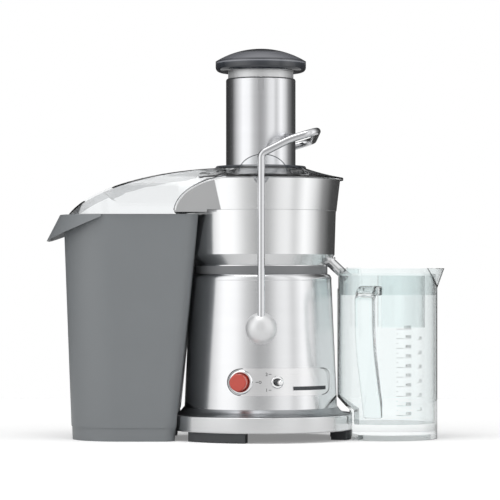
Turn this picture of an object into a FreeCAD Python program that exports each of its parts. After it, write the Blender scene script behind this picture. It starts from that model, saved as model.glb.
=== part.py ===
import FreeCAD, Part

import math
import os

# Centrifugal juicer: a motor base with a clamped filter bowl, a wide feed chute, a pulp bin
# on the left and a juice jug on the right.  Millimetres, +Z up, the controls face -Y.
# While it is modelled, the motor spindle is the line x = 0, y = 0 and the worktop is z = 0.

V = FreeCAD.Vector

# ------------------------------------------------------------------ driving dimensions
FIT = 0.05            # radial gap of a shaft that turns in its bearing or bush
LOOSE = 0.3           # gap between pieces of one assembly that only sit beside each other
SLIP = 1.0            # gap between pieces that lift or slide apart

# base
foot_height = 11.0
foot_width = 18.0
foot_span_deg = 42.0
foot_angles_deg = (239.0, 359.0, 119.0)
base_radius = 107.4
base_ring_height = 17.6
base_ring_wall = 3.0
base_plate_thickness = 3.0
collar_height = 7.6
collar_wall = 2.4

# motor housing
housing_height = 151.1
housing_foot_radius = 87.2
housing_top_radius = 80.6
housing_shoulder = 7.3
housing_wall = 1.5
deck_neck_radius = 76.2
deck_neck_height = 9.1
deck_wall = 3.0

# filter bowl and its surround
bowl_height = 62.5
bowl_foot_radius = 75.7
bowl_turn_height = 13.0
bowl_low_radius = 84.3
bowl_top_radius = 85.8
bowl_wall = 2.2
surround_height = 35.1
surround_foot_radius = 86.4
surround_top_radius = 90.6
throat_half_width = 74.0
throat_reach = 97.0
throat_arch_centre = 23.0
throat_arch_rise = 42.0
rod_notch_width = 17.0
rod_notch_depth = 7.0

# clear cover and feed chute
cover_wall = 2.5
cover_rim_radius = 94.2
cover_rim_height = 2.6
cover_cone_rise = 10.4
hood_reach = 219.5
hood_semi_length = 212.0
hood_semi_height = 82.9
hood_offset = 20.0
hood_sink = 30.7
hood_corner_radius = 58.0
ear_radius = 27.0
ear_rise = 21.0
ear_thickness = 5.0
chute_radius = 39.7
chute_wall = 1.6
chute_rise = 102.6
chute_drop = 74.0
flange_radius = 52.0
flange_thickness = 3.0

# pusher
pusher_gap = 0.8
pusher_wall = 2.0
pusher_lift_gap = 2.0
cap_radius = 51.6
cap_edge_height = 12.0
cap_dome_height = 14.6

# clamping bail
bail_rod_radius = 4.1
bail_pivot_height = 127.0
bail_corner_rise = 193.0
bail_end_rise = 218.4
bail_end_reach = 62.0
bail_corner_radius = 7.5
bail_bend_radius = 16.0
knob_radius = 17.7
knob_front = 107.0
pivot_pin_radius = 5.0

# control panel
panel_height = 30.4
panel_centre_height = 67.2
panel_left = -37.9
panel_right = 78.0
panel_right_corner = 8.0
panel_thickness = 1.5
button_angle_deg = -14.8
button_radius = 9.6
button_stand = 15.5
button_travel = 4.0
plunger_radius = 3.0
button_ring_radius = 13.9
toggle_angle_deg = 11.8
toggle_ring_radius = 7.0
toggle_stand = 20.0
toggle_swing_deg = 12.0
toggle_pin_radius = 0.8
toggle_pin_length = 9.8

# juice nozzle and jug
nozzle_radius = 5.8
nozzle_wall = 1.2
nozzle_slope_deg = 43.3
nozzle_root_radius = 79.4
nozzle_root_rise = 5.0
nozzle_length = 27.0
jug_radius = 57.0
jug_height = 194.0
jug_wall = 2.6
jug_floor = 18.0
jug_gap = 0.4
jug_lip_reach = 8.0
jug_lip_depth = 28.0
jug_lip_radius = 43.0
jug_step_height = 31.5
jug_step_rise = 15.8
inlet_half_width = 12.0
inlet_depth = 23.0
lid_drop = 6.0
lid_wall = 1.8
lid_skirt_depth = 24.5
separator_radius = 43.0
separator_depth = 38.0
separator_half_deg = 102.0
handle_angle_deg = -110.0
handle_width = 22.0
handle_thickness = 11.0
handle_reach = 34.5
handle_top = 174.0
handle_bottom = 22.0

# pulp bin
bin_rim_drop = 4.6
bin_wall = 2.4
bin_left_top = -224.0
bin_left_foot = -215.0
bin_right_top = -70.0
bin_right_foot = -96.0
bin_half_foot = 66.0
bin_corner_left = 56.0
bin_corner_right = 14.0
bin_clearance = 2.2
bin_foot_height = 15.0
bin_grip_reach = 20.5
bin_grip_depth = 30.0
bin_grip_length = 66.0

# motor and drive
shaft_radius = 5.0
bearing_radius = 11.0
bearing_height = 7.0
stator_radius = 55.0
stator_height = 50.0
rotor_radius = 28.0
air_gap = 0.8
commutator_radius = 13.0
fan_radius = 45.0
bracket_thickness = 4.0
bracket_radius = 60.0
coupling_radius = 13.0
coupling_height = 14.0
basket_floor_radius = 50.0
basket_top_radius = 76.0
basket_height = 65.0
basket_wall = 1.2
basket_rim_radius = 82.0
disc_radius = 42.0
disc_thickness = 1.5
tooth_height = 2.2

# ------------------------------------------------------------------ heights that follow
z_plate = foot_height
z_ring_top = foot_height + base_ring_height
z_housing = z_ring_top + collar_height
z_deck = z_housing + housing_height
z_bowl = z_deck + deck_neck_height
z_seam = z_bowl + bowl_height
z_rim = z_seam + surround_height
z_cover = z_rim + 0.4
z_flange = z_cover + cover_rim_height + cover_cone_rise
z_chute_top = z_flange + chute_rise
z_chute_foot = z_flange - chute_drop
z_cap = z_chute_top + 8.0
z_throat = z_seam - 2.4
bin_height = z_seam - bin_rim_drop
bin_half_top = throat_half_width - 2.0
chute_bore = chute_radius - chute_wall
pusher_radius = chute_bore - pusher_gap
bail_y = cover_rim_radius + 0.6 + bail_rod_radius
bail_z = bail_pivot_height
jug_x = housing_foot_radius + jug_gap + jug_radius
z_coupling = z_bowl + 1.6
z_basket = z_bowl + 20.6
z_lower_bracket = z_housing + 12.0
z_stator = z_lower_bracket + 34.0
z_upper_bracket = z_stator + stator_height + 34.0


# ------------------------------------------------------------------ helpers
def cyl(radius, z0, z1, x=0.0, y=0.0):
    """Upright cylinder from z0 to z1."""
    return Part.makeCylinder(radius, z1 - z0, V(x, y, z0))


def tube(outer, inner, z0, z1, x=0.0, y=0.0):
    """Upright ring of wall outer - inner."""
    return cyl(outer, z0, z1, x, y).cut(cyl(inner, z0 - 1, z1 + 1, x, y))


def cone(r0, r1, z0, z1, x=0.0, y=0.0):
    """Upright cone from radius r0 at z0 to r1 at z1."""
    if abs(r0 - r1) < 1e-6:
        return cyl(r0, z0, z1, x, y)
    return Part.makeCone(r0, r1, z1 - z0, V(x, y, z0))


def block(x0, x1, y0, y1, z0, z1):
    """Box between two corners."""
    return Part.makeBox(x1 - x0, y1 - y0, z1 - z0, V(x0, y0, z0))


def outline(path, place):
    """Closed wire: a pair goes straight to a point, four numbers go by an arc through the first pair."""
    edges = []
    last = place(*path[0])
    for step in path[1:] + [path[0]]:
        end = place(*step[-2:])
        if (end - last).Length > 1e-6:
            if len(step) == 4:
                edges.append(Part.Arc(last, place(*step[:2]), end).toShape())
            else:
                edges.append(Part.makeLine(last, end))
        last = end
    return Part.Wire(edges)


def lathe(path):
    """Solid of revolution about the spindle from an outline in (radius, height)."""
    face = Part.Face(outline(path, lambda r, z: V(r, 0, z)))
    return solid(face.revolve(V(0, 0, 0), V(0, 0, 1), 360))


def solid(shape):
    """The shape as one solid with outward faces."""
    made = shape if shape.ShapeType == "Solid" else Part.Solid(shape.Shells[0])
    if made.Volume < 0:
        made.reverse()
    return made


def side_profile(path, y0, y1):
    """Prism along Y from an outline in (x, z)."""
    face = Part.Face(outline(path, lambda x, z: V(x, y0, z)))
    return face.extrude(V(0, y1 - y0, 0))


def along(shape, angle_deg, radius, z):
    """Move a shape that is built round the +Z axis so that +Z points out of the front at an angle."""
    a = math.radians(angle_deg)
    out = V(math.sin(a), -math.cos(a), 0)
    placed = shape.copy()
    turn = FreeCAD.Rotation(V(0, 0, 1), out)
    placed.Placement = FreeCAD.Placement(out * radius + V(0, 0, z), turn)
    return placed


def polar(shape, angles_deg, x=0.0, y=0.0):
    """Copies of a shape turned about an upright axis."""
    copies = []
    for angle in angles_deg:
        turned = shape.copy()
        turned.rotate(V(x, y, 0), V(0, 0, 1), angle)
        copies.append(turned)
    return copies


def both_sides(shape):
    """A shape at the front and its mirror image at the back."""
    return [shape, shape.mirror(V(0, 0, 0), V(0, 1, 0))]


def bent_path(points, radii):
    """Wire of straight runs joined by tangent arcs."""
    edges = []
    last = points[0]
    for i in range(1, len(points) - 1):
        before = (points[i - 1] - points[i]).normalize()
        after = (points[i + 1] - points[i]).normalize()
        half = before.getAngle(after) / 2
        run = radii[i - 1] / math.tan(half)
        start = points[i] + before * run
        end = points[i] + after * run
        middle = (before + after).normalize()
        mid = points[i] + middle * (radii[i - 1] / math.sin(half) - radii[i - 1])
        edges.append(Part.makeLine(last, start))
        edges.append(Part.Arc(start, mid, end).toShape())
        last = end
    edges.append(Part.makeLine(last, points[-1]))
    return Part.Wire(edges)


def rod(points, radii, radius):
    """Round rod along a bent path."""
    path = bent_path(points, radii)
    first = (points[1] - points[0]).normalize()
    ring = Part.Wire(Part.makeCircle(radius, points[0], first))
    return solid(path.makePipeShell([ring], True, True))


def rounded_plan(x0, x1, half, r_left, r_right, z):
    """Closed wire of a box in plan with round corners, larger at one end."""
    k = math.sqrt(0.5)
    a = r_left * (1 - k)
    b = r_right * (1 - k)
    path = [
        (x0 + r_left, -half),
        (x1 - r_right, -half),
        (x1 - b, -half + b, x1, -half + r_right),
        (x1, half - r_right),
        (x1 - b, half - b, x1 - r_right, half),
        (x0 + r_left, half),
        (x0 + a, half - a, x0, half - r_left),
        (x0, -half + r_left),
        (x0 + a, -half + a, x0 + r_left, -half),
    ]
    return outline(path, lambda x, y: V(x, y, z))


def housing_radius(z):
    """Outer radius of the motor housing at a height."""
    share = (z - z_housing) / (housing_height - housing_shoulder)
    return housing_foot_radius + (housing_top_radius - housing_foot_radius) * share


def fuse(shapes):
    """One solid out of pieces that meet."""
    made = shapes[0].fuse(shapes[1:]) if len(shapes) > 1 else shapes[0]
    return made.removeSplitter()


# ------------------------------------------------------------------ base
def rubber_feet():
    outer = base_radius - base_ring_wall - 1.0
    inner = outer - foot_width
    pad = tube(outer, inner, 0, foot_height)
    reach = 2 * base_radius
    half = math.radians(foot_span_deg / 2)
    wedge = Part.makePolygon([V(0, 0, -1), V(reach, -reach * math.tan(half), -1),
                              V(reach, reach * math.tan(half), -1), V(0, 0, -1)])
    pad = pad.common(Part.Face(wedge).extrude(V(0, 0, foot_height + 2)))
    for i in range(7):
        groove = block(inner - 1, outer + 1, -0.8, 0.8, -1, 1.2)
        groove.rotate(V(0, 0, 0), V(0, 0, 1), (i - 3) * foot_span_deg / 8)
        pad = pad.cut(groove)
    for shape in foot_screw_spots():
        pad = pad.cut(cyl(5.0, -1, 5.0, shape.x, shape.y))
        pad = pad.cut(cyl(2.3, 0, foot_height + 1, shape.x, shape.y))
    return polar(pad, foot_angles_deg)


def foot_screw_spots():
    """Two screws in each foot, in the foot's own frame."""
    mid = base_radius - base_ring_wall - 1.0 - foot_width / 2
    turns = [math.radians(s * foot_span_deg / 3.4) for s in (-1, 1)]
    return [V(mid * math.cos(t), mid * math.sin(t), 0) for t in turns]


def foot_screws():
    screws = []
    for spot in foot_screw_spots():
        head = cyl(4.4, 2.6, 5.0, spot.x, spot.y)
        shank = cyl(2.0, 5.0, z_plate + base_plate_thickness + 6, spot.x, spot.y)
        screws += polar(fuse([head, shank]), foot_angles_deg)
    return screws


def base_plate():
    radius = base_radius - base_ring_wall - LOOSE / 3
    top = z_plate + base_plate_thickness
    plate = cyl(radius, z_plate, top)
    posts = [cyl(5.0, top - 0.5, top + 8, s.x, s.y) for s in foot_screw_spots()]
    for post in posts:
        plate = plate.fuse(polar(post, foot_angles_deg))
    plate = plate.fuse([cyl(7.0, top - 0.5, z_lower_bracket - 12, s.x, s.y) for s in mount_spots()])
    for s in foot_screw_spots():
        plate = plate.cut(polar_join(cyl(2.1, z_plate - 1, top + 10, s.x, s.y), foot_angles_deg))
    for s in mount_spots():
        plate = plate.cut(cyl(2.1, z_plate + 6, z_lower_bracket, s.x, s.y))
    for i in range(-4, 5):
        half = math.sqrt(38.0 ** 2 - (i * 8.0) ** 2)
        plate = plate.cut(block(i * 8.0 - 1.6, i * 8.0 + 1.6, -half, half, z_plate - 1, top + 1))
    return plate.removeSplitter()


def polar_join(shape, angles_deg):
    """Turned copies as one compound, to cut with."""
    return Part.makeCompound(polar(shape, angles_deg))


def base_ring():
    inner = base_radius - base_ring_wall
    return lathe([(inner, z_plate), (base_radius - 1, z_plate), (base_radius, z_plate + 1),
                  (base_radius, z_ring_top - 1), (base_radius - 0.3, z_ring_top - 0.3, base_radius - 1, z_ring_top),
                  (inner, z_ring_top)])


def base_collar():
    edge = base_radius - base_ring_wall - LOOSE / 3
    ledge = housing_foot_radius + 1.0
    low = z_ring_top - collar_wall
    return lathe([(edge, low), (edge, z_ring_top),
                  (ledge + 5.0, z_ring_top + 2.2, ledge, z_housing),
                  (housing_foot_radius - 4, z_housing), (housing_foot_radius - 4, z_housing - collar_wall),
                  (ledge + 2, z_ring_top)])


def cord_inlet_bush():
    z = z_housing + 16
    barrel = Part.makeCylinder(8.0, 14.0, V(0, 0, 0), V(0, 0, 1))
    barrel = barrel.fuse(Part.makeCylinder(11.0, 3.0, V(0, 0, 5.0), V(0, 0, 1)))
    barrel = barrel.cut(Part.makeCylinder(4.0, 30.0, V(0, 0, -5), V(0, 0, 1)))
    return along(barrel, 180, housing_radius(z) - 4.4, z)


def motor_housing():
    top = z_deck
    shoulder = top - housing_shoulder
    w = housing_wall
    r = housing_top_radius
    outer = [(housing_foot_radius, z_housing), (r, shoulder), (r - 0.9, top - 2.2, r - 3.2, top),
             (deck_neck_radius - 3, top), (deck_neck_radius - 3, top - w),
             (r - 3.6, top - w), (r - w, shoulder - w), (housing_foot_radius - w, z_housing)]
    shell = lathe(outer)
    z = bail_pivot_height
    holes = [along(Part.makeCylinder(8.1, 40, V(0, 0, -20), V(0, 0, 1)), a, housing_radius(z), z) for a in (0, 180)]
    z = z_housing + 16
    holes.append(along(Part.makeCylinder(8.1, 30, V(0, 0, -20), V(0, 0, 1)), 180, housing_radius(z), z))
    z = panel_centre_height
    holes.append(along(Part.makeCylinder(button_radius + 0.6, 30, V(0, 0, -15), V(0, 0, 1)),
                       button_angle_deg, housing_radius(z), z))
    holes.append(along(Part.makeCylinder(6.0, 30, V(0, 0, -15), V(0, 0, 1)), toggle_angle_deg, housing_radius(z), z))
    return shell.cut(holes).removeSplitter()


def bail_bushes():
    z = bail_pivot_height
    r = housing_radius(z)
    bush = Part.makeCylinder(8.0, 12.0, V(0, 0, -10.6), V(0, 0, 1))
    bush = bush.fuse(Part.makeCylinder(11.0, 2.0, V(0, 0, -3.6 - 2.0), V(0, 0, 1)))
    bush = bush.cut(Part.makeCylinder(pivot_pin_radius + FIT, 40, V(0, 0, -20), V(0, 0, 1)))
    return [along(bush, a, r, z) for a in (0, 180)]


def nozzle_frame():
    """Start point and direction of the juice nozzle's axis."""
    slope = math.radians(nozzle_slope_deg)
    way = V(math.cos(slope), 0, -math.sin(slope))
    return V(nozzle_root_radius, 0, z_bowl + nozzle_root_rise), way


def nozzle_bar(radius, back, length):
    """Cylinder on the nozzle's axis."""
    start, way = nozzle_frame()
    return Part.makeCylinder(radius, length, start - way * back, way)


def top_deck():
    inner = deck_neck_radius - deck_wall
    spigot = inner - LOOSE
    neck = lathe([(9.4, z_deck), (deck_neck_radius, z_deck), (deck_neck_radius, z_bowl), (inner, z_bowl),
                  (inner, z_deck + deck_wall), (14.0, z_deck + deck_wall), (14.0, z_bowl), (9.4, z_bowl)])
    neck = neck.fuse(tube(spigot, spigot - 2, z_deck - 6, z_deck + 1))
    return neck.cut(nozzle_bar(nozzle_radius + 2.2, 1.5, 60)).removeSplitter()


# ------------------------------------------------------------------ motor
def mount_spots():
    r = bracket_radius - 8
    return [V(r * math.cos(math.radians(a)), r * math.sin(math.radians(a)), 0) for a in (0, 90, 180, 270)]


def tie_spots():
    r = stator_radius - 5
    return [V(r * math.cos(math.radians(a)), r * math.sin(math.radians(a)), 0) for a in (45, 135, 225, 315)]


def motor_mounts():
    low = z_lower_bracket - 12
    mount = tube(7.5, 2.6, low, z_lower_bracket - LOOSE / 3)
    return [mount.translated(s) for s in mount_spots()]


def bracket(z, boss_z0, boss_z1, seat_z0):
    plate = cyl(bracket_radius, z, z + bracket_thickness)
    plate = plate.fuse(cyl(bearing_radius + 3, boss_z0, boss_z1))
    plate = plate.cut(cyl(shaft_radius + 1.5, boss_z0 - 1, boss_z1 + 1))
    plate = plate.cut(cyl(bearing_radius + 0.02, seat_z0, seat_z0 + bearing_height))
    for s in tie_spots():
        plate = plate.cut(cyl(2.6, z - 1, z + bracket_thickness + 1, s.x, s.y))
    for a in (22.5, 67.5, 112.5, 157.5, 202.5, 247.5, 292.5, 337.5):
        t = math.radians(a)
        plate = plate.cut(cyl(7.0, z - 1, z + bracket_thickness + 1, 32 * math.cos(t), 32 * math.sin(t)))
    return plate


def lower_motor_bracket():
    z = z_lower_bracket
    plate = bracket(z, z - 8, z + bracket_thickness, z - 8)
    for s in mount_spots():
        plate = plate.cut(cyl(2.3, z - 1, z + 10, s.x, s.y))
    return plate.removeSplitter()


def upper_motor_bracket():
    z = z_upper_bracket
    top = z + bracket_thickness + 8
    return bracket(z, z, top, top - bearing_height).removeSplitter()


def bearing(z):
    return tube(bearing_radius, shaft_radius + FIT, z, z + bearing_height - 0.1)


def motor_tie_rods():
    low = z_lower_bracket - 2.5
    top = z_upper_bracket + bracket_thickness + 2.5
    bar = fuse([cyl(2.4, low, top), cyl(4.4, low, low + 2.5), cyl(4.4, top - 2.5, top)])
    return [bar.translated(s) for s in tie_spots()]


def stator_core():
    z = z_stator
    core = tube(stator_radius, rotor_radius + air_gap, z, z + stator_height)
    for s in tie_spots():
        core = core.cut(cyl(2.6, z - 1, z + stator_height + 1, s.x, s.y))
    slot = tube(stator_radius - 10, rotor_radius + 6, z - 1, z + stator_height + 1)
    gap = slot.common(block(-20, 20, -stator_radius, stator_radius, z - 1, z + stator_height + 1))
    return core.cut(gap).removeSplitter()


def field_windings():
    z = z_stator
    outer = stator_radius - 10.4
    inner = rotor_radius + 6.4
    ring = tube(outer, inner, z - 9, z + stator_height + 9)
    keep = block(-19.6, 19.6, -stator_radius, stator_radius, z - 10, z + stator_height + 10)
    coil = ring.common(keep)
    ends = tube(outer, inner, z - 9, z - 0.2).fuse(tube(outer, inner, z + stator_height + 0.2, z + stator_height + 9))
    return [s for s in coil.fuse(ends).removeSplitter().Solids]


def rotor_core():
    core = tube(rotor_radius, shaft_radius + 0.02, z_stator, z_stator + stator_height)
    slots = []
    for i in range(12):
        slot = block(rotor_radius - 9, rotor_radius + 2, -1.6, 1.6, z_stator - 1, z_stator + stator_height + 1)
        slot.rotate(V(0, 0, 0), V(0, 0, 1), i * 30)
        slots.append(slot)
    return core.cut(slots).removeSplitter()


def rotor_windings():
    low = tube(rotor_radius - 4, shaft_radius + 1, z_stator - 8, z_stator - 0.1)
    top = tube(rotor_radius - 4, shaft_radius + 1, z_stator + stator_height + 0.1, z_stator + stator_height + 8)
    return [low, top]


def commutator():
    z = z_lower_bracket + 9
    drum = tube(commutator_radius, shaft_radius + 0.02, z, z + 14)
    slots = []
    for i in range(24):
        slot = block(commutator_radius - 1.5, commutator_radius + 1, -0.3, 0.3, z - 1, z + 15)
        slot.rotate(V(0, 0, 0), V(0, 0, 1), i * 15)
        slots.append(slot)
    return drum.cut(slots)


def brush_holders():
    z = z_lower_bracket
    y0 = commutator_radius + 2.5
    y1 = y0 + 18
    box = block(-6, 6, y0, y1, z + bracket_thickness, z + 22)
    box = box.cut(block(-3.6, 3.6, y0 - 1, y1 - 2, z + 10.9, z + 20.1))
    return both_sides(box)


def carbon_brushes():
    z = z_lower_bracket
    y0 = commutator_radius + 0.1
    return both_sides(block(-3.5, 3.5, y0, y0 + 14, z + 11, z + 20))


def motor_shaft():
    return lathe([(0, z_lower_bracket - 9), (shaft_radius, z_lower_bracket - 9), (shaft_radius, z_coupling + 8),
                  (shaft_radius - 1, z_coupling + 9), (0, z_coupling + 9)])


def cooling_fan():
    z = z_stator + stator_height + 14
    hub = tube(9.0, shaft_radius + 0.02, z, z + 12)
    disc = tube(fan_radius, 8.5, z, z + 1.6)
    blades = []
    for i in range(12):
        blade = block(16, fan_radius - 1, -0.8, 0.8, z + 1, z + 11)
        blade.rotate(V(16, 0, 0), V(0, 0, 1), 25)
        blade.rotate(V(0, 0, 0), V(0, 0, 1), i * 30)
        blades.append(blade)
    return fuse([hub, disc] + blades)


def thermal_cutout():
    body = block(-7, 7, stator_radius + LOOSE, stator_radius + 6, z_stator + 14, z_stator + 34)
    return body.cut(cyl(stator_radius + 0.1, z_stator, z_stator + stator_height))


def board_face():
    """Distance of the board's front face from the spindle, its feet standing at the housing's wall."""
    reach = housing_radius(z_housing + 76) - housing_wall - 0.9
    return math.sqrt(reach * reach - 28 * 28) - 4.3


def control_board():
    y = board_face()
    board = block(-28, 28, y, y + 1.6, z_housing + 32, z_housing + 76)
    feet = block(-28, -22, y + 1.4, y + 4.3, z_housing + 34, z_housing + 74)
    return fuse([board, feet, feet.mirror(V(0, 0, 0), V(1, 0, 0))])


def board_components():
    z = z_housing + 34
    y = board_face() - 0.1
    parts = [block(-22, -8, y - 10.9, y, z, z + 16), block(-2, 12, y - 7.9, y, z + 4, z + 14)]
    parts.append(Part.makeCylinder(6, 9, V(16, y, z + 27), V(0, -1, 0)))
    parts.append(block(-20, 4, y - 8.9, y, z + 22, z + 36))
    return parts


# ------------------------------------------------------------------ controls
def panel_outline(grow, y0, y1):
    half = panel_height / 2 + grow
    left = panel_left - grow
    right = panel_right + grow
    r = panel_right_corner + grow
    z = panel_centre_height
    k = math.sqrt(0.5)
    low = z - half
    high = z + half
    b = r * (1 - k)
    path = [(left + half, low), (right - r, low), (right - b, low + b, right, low + r), (right, high - r),
            (right - b, high - b, right - r, high), (left + half, high), (left, z, left + half, low)]
    edges = outline(path[:-1] + [path[-1]], lambda x, zz: V(x, y0, zz))
    return Part.Face(edges).extrude(V(0, y1 - y0, 0))


def housing_cone(grow):
    z0 = z_housing
    z1 = z_deck - housing_shoulder
    return cone(housing_radius(z0) + grow, housing_radius(z1) + grow, z0, z1)


def control_panel():
    plate = housing_cone(panel_thickness).cut(housing_cone(3 * FIT)).common(panel_outline(0, -120, -20))
    z = panel_centre_height
    r = housing_radius(z)
    plate = plate.cut(along(Part.makeCylinder(button_radius + 0.6, 30, V(0, 0, -15), V(0, 0, 1)),
                            button_angle_deg, r, z))
    plate = plate.cut(along(Part.makeCylinder(6.0, 30, V(0, 0, -15), V(0, 0, 1)), toggle_angle_deg, r, z))
    return max(plate.Solids, key=lambda s: s.Volume)


def panel_radius():
    return housing_radius(panel_centre_height) + panel_thickness


def spin(path):
    """Solid of revolution about its own +Z axis from an outline in (radius, height)."""
    return lathe(path)


def seat_on_panel(shape, grow):
    """Take away what would reach into the panel or the housing."""
    return max(shape.cut(housing_cone(grow)).Solids, key=lambda s: s.Volume)


def power_button_ring():
    r = button_ring_radius
    ring = spin([(button_radius + 0.6, -3), (r, -3), (r, 1.6), (r - 1.4, 3.4, r - 2.6, 3.8), (button_radius + 0.6, 3.0)])
    placed = along(ring, button_angle_deg, panel_radius(), panel_centre_height)
    return seat_on_panel(placed, panel_thickness + FIT)


def power_button():
    r = button_radius
    top = button_stand
    hole = plunger_radius + LOOSE
    cap = spin([(0, -2.0), (hole, -2.0), (hole, -7), (r, -7), (r, top - 1.6), (r - 0.5, top - 0.5, r - 1.6, top), (0, top)])
    return along(cap, button_angle_deg, panel_radius(), panel_centre_height)


def power_switch():
    back = -8.0 - button_travel
    body = Part.makeBox(24, 24, 20, V(-12, -12, back - 20.5))
    neck = Part.makeCylinder(plunger_radius, -6.5 - back + 0.7, V(0, 0, back - 0.7), V(0, 0, 1))
    return along(fuse([body, neck]), button_angle_deg, panel_radius(), panel_centre_height)


def toggle_pin(grow):
    """Cross pin of the toggle's ball, along its hinge."""
    a = math.radians(toggle_angle_deg)
    half = toggle_pin_length / 2 + grow
    way = V(math.cos(a), math.sin(a), 0)
    middle = V(math.sin(a), -math.cos(a), 0) * toggle_pivot() + V(0, 0, panel_centre_height)
    return Part.makeCylinder(toggle_pin_radius + grow, 2 * half, middle - way * half, way)


def toggle_bush():
    r = toggle_ring_radius
    ring = spin([(4.4, -9), (5.7, -9), (5.7, 0.5), (r, 0.5), (r, 1.6), (r - 0.8, 2.4), (4.4, 2.4)])
    return along(ring, toggle_angle_deg, panel_radius() + 0.3, panel_centre_height).cut(toggle_pin(0.12))


def toggle_pivot():
    """Distance of the toggle's hinge from the spindle."""
    return panel_radius() - 1.0


def toggle_lever():
    t = toggle_stand
    lever = spin([(0, -6), (4.0, -2, 1.9, 1.52), (1.9, 6), (2.4, 8), (3.3, t - 4), (2.6, t - 1.0, 1.2, t), (0, t)])
    return fuse([along(lever, toggle_angle_deg, panel_radius() + 1, panel_centre_height), toggle_pin(0)])


def toggle_boot():
    boot = spin([(2.0, 3.6), (4.0, 3.6), (4.3, 5.0), (3.6, 8.6), (2.6, 9.6), (2.5, 8.2), (2.0, 6.2)])
    return along(boot, toggle_angle_deg, panel_radius() + 1, panel_centre_height)


def toggle_switch():
    body = Part.makeBox(16, 20, 22, V(-8, -10, -31.6))
    return along(body, toggle_angle_deg, panel_radius(), panel_centre_height)


# ------------------------------------------------------------------ bowl, surround and seals
def spindle_seal():
    return tube(9.3, shaft_radius + FIT, z_deck + 1, z_bowl - 1)


def bowl_seal():
    outer = deck_neck_radius - deck_wall - 1.0
    return tube(outer, outer - 4, z_deck + deck_wall, z_bowl - 0.1)


def bowl_inside():
    """Space inside the filter bowl, round its chimney."""
    w = bowl_wall
    chimney = coupling_radius + 7.5
    turn = z_bowl + bowl_turn_height
    ring = z_seam + 20.5
    return lathe([(chimney, z_bowl + w), (bowl_foot_radius - w, z_bowl + w), (bowl_low_radius - w, turn),
                  (bowl_top_radius - w, z_seam - 4), (bowl_top_radius - w - 2.4, z_seam + 4),
                  (bowl_top_radius - w - 2.4, ring + 1), (chimney, ring + 1)])


def filter_bowl():
    w = bowl_wall
    turn = z_bowl + bowl_turn_height
    ring = z_seam + 20.5
    chimney = coupling_radius + 7.5
    bore = coupling_radius + 5.5
    lip = bowl_top_radius - w - 2.4
    outer = lathe([(bore, z_bowl), (bowl_foot_radius, z_bowl), (bowl_foot_radius, z_bowl + 1),
                   (bowl_low_radius, turn), (bowl_top_radius, z_seam - 0.5), (bowl_top_radius, z_seam),
                   (lip + w, z_seam + 4), (lip + w, ring), (bore, ring)])
    top_cut = lathe([(bore - 1, z_bowl + 16), (chimney + 1, z_bowl + 16), (chimney + 1, ring + 2), (bore - 1, ring + 2)])
    shell = outer.cut(bowl_inside()).cut(top_cut)
    shell = shell.cut(nozzle_bar(nozzle_radius + 0.1, 25, 60))
    return max(shell.Solids, key=lambda s: s.Volume)


def juice_nozzle():
    pipe = nozzle_bar(nozzle_radius, 9.0, 9.0 + nozzle_length)
    collar = nozzle_bar(nozzle_radius + 1.6, 0.5, 2.0)
    pipe = pipe.fuse(collar).cut(nozzle_bar(nozzle_radius - nozzle_wall, 20, 80))
    guard = lathe([(0, z_bowl - 1), (bowl_foot_radius + 0.2, z_bowl - 1), (bowl_foot_radius + 0.2, z_bowl + 1),
                   (bowl_low_radius + 0.2, z_bowl + bowl_turn_height), (bowl_low_radius + 0.2, z_seam), (0, z_seam)])
    outside = pipe.cut(guard)
    inside = nozzle_bar(nozzle_radius, 9.0, 18.0).cut(nozzle_bar(nozzle_radius - nozzle_wall, 20, 80))
    inside = inside.cut(bowl_inside()).cut(cyl(bowl_foot_radius - 6, z_bowl - 9, z_seam))
    inside = inside.cut(cyl(bowl_foot_radius + 5, z_deck, z_bowl + 0.1))
    return max(outside.fuse(inside).removeSplitter().Solids, key=lambda s: s.Volume)


def arch_prism(grow, y0, y1):
    """Region where the surround's wall stands, right of its left-hand arch, seen from the front."""
    cx = -throat_arch_centre
    left = -throat_reach - grow
    foot = z_throat - 5
    a = cx - left
    top = z_seam - 3.4 + throat_arch_rise + grow
    k = math.sqrt(0.5)
    base = z_seam - 3.4
    path = [(cx, top), (base_radius, top), (base_radius, foot), (left, foot), (left, base),
            (cx - a * k, base + (top - base) * k, cx, top)]
    return side_profile(path, y0, y1)


def surround_body(grow, z0, z1):
    """Solid plan of the surround: a slightly flared drum with a throat to the left."""
    slope = (surround_top_radius - surround_foot_radius) / surround_height
    r0 = surround_foot_radius + grow + (z0 - z_seam) * slope
    r1 = surround_foot_radius + grow + (z1 - z_seam) * slope
    drum = cone(r0, r1, z0, z1)
    half = throat_half_width + grow
    return drum.fuse(block(-throat_reach - 40, 0, -half, half, z0, z1))


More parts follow.
